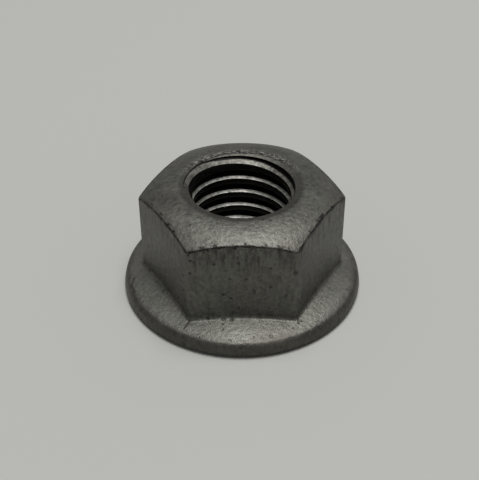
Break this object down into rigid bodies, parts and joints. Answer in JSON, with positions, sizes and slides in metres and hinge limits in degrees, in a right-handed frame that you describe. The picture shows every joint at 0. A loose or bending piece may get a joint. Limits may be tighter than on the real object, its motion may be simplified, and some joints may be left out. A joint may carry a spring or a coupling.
{
  "type": "serrated flange nut",
  "caption": "Hexagon flange nut with a domed top, a threaded bore, a sloping round flange and ratchet serrations under it. Locks a bolted joint against working loose.",
  "frame": {"origin": "middle of the bearing face, on the crests of the serrations", "axes": "+Z along the bore, from the bearing face to the domed top; two of the six flats face -Y and +Y"},
  "size_m": [0.0216, 0.0216, 0.0105],
  "materials": {
    "coated_steel": "dull dark grey zinc flake coating on steel, slightly mottled"
  },
  "bodies": {
    "root": {"flange_nut": "coated_steel"}
  },
  "joints": []
}
